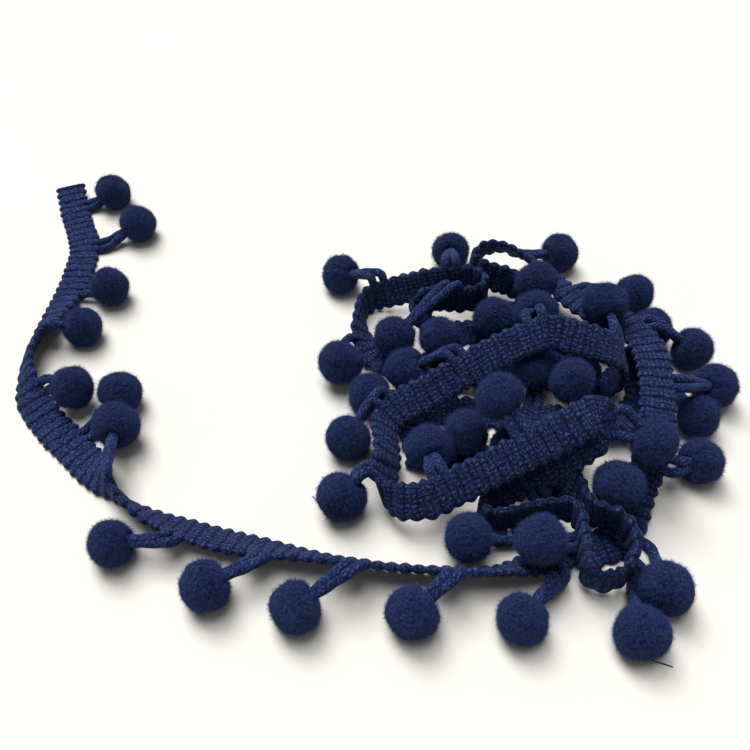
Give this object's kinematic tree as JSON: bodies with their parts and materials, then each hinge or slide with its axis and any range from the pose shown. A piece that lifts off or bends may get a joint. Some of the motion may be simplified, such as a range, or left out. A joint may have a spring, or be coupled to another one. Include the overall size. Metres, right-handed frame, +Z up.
{
  "type": "pompom fringe trim",
  "caption": "Ribbed braid tape lying in a loose heap with a curved tail, soft felted balls hanging from one edge on paired cord loops.",
  "frame": {"origin": "middle of the bounding box, on the surface that the trim lies on", "axes": "+Z up; -Y towards the viewer, the side of the heap with the standing ring; -X towards the tail"},
  "size_m": [0.214, 0.176, 0.0314],
  "materials": {
    "tape": "ribbed woven yarn, matt",
    "pompoms": "dense felted yarn pile, matt"
  },
  "bodies": {
    "root": {"tape": "tape", "pompom_01": "pompoms", "pompom_02": "pompoms", "pompom_03": "pompoms", "pompom_04": "pompoms", "pompom_05": "pompoms", "pompom_06": "pompoms", "pompom_07": "pompoms", "pompom_08": "pompoms", "pompom_09": "pompoms", "pompom_10": "pompoms", "pompom_11": "pompoms", "pompom_12": "pompoms", "pompom_13": "pompoms", "pompom_14": "pompoms", "pompom_15": "pompoms", "pompom_16": "pompoms", "pompom_17": "pompoms", "pompom_18": "pompoms", "pompom_19": "pompoms", "pompom_20": "pompoms", "pompom_21": "pompoms", "pompom_22": "pompoms", "pompom_23": "pompoms", "pompom_24": "pompoms", "pompom_25": "pompoms", "pompom_26": "pompoms", "pompom_27": "pompoms", "pompom_28": "pompoms", "pompom_29": "pompoms", "pompom_30": "pompoms", "pompom_31": "pompoms", "pompom_32": "pompoms", "pompom_33": "pompoms", "pompom_34": "pompoms", "pompom_35": "pompoms", "pompom_36": "pompoms", "pompom_37": "pompoms", "pompom_38": "pompoms", "pompom_39": "pompoms", "pompom_40": "pompoms", "pompom_41": "pompoms", "pompom_42": "pompoms", "pompom_43": "pompoms", "pompom_44": "pompoms", "pompom_45": "pompoms", "pompom_46": "pompoms", "pompom_47": "pompoms", "pompom_48": "pompoms"}
  },
  "joints": []
}
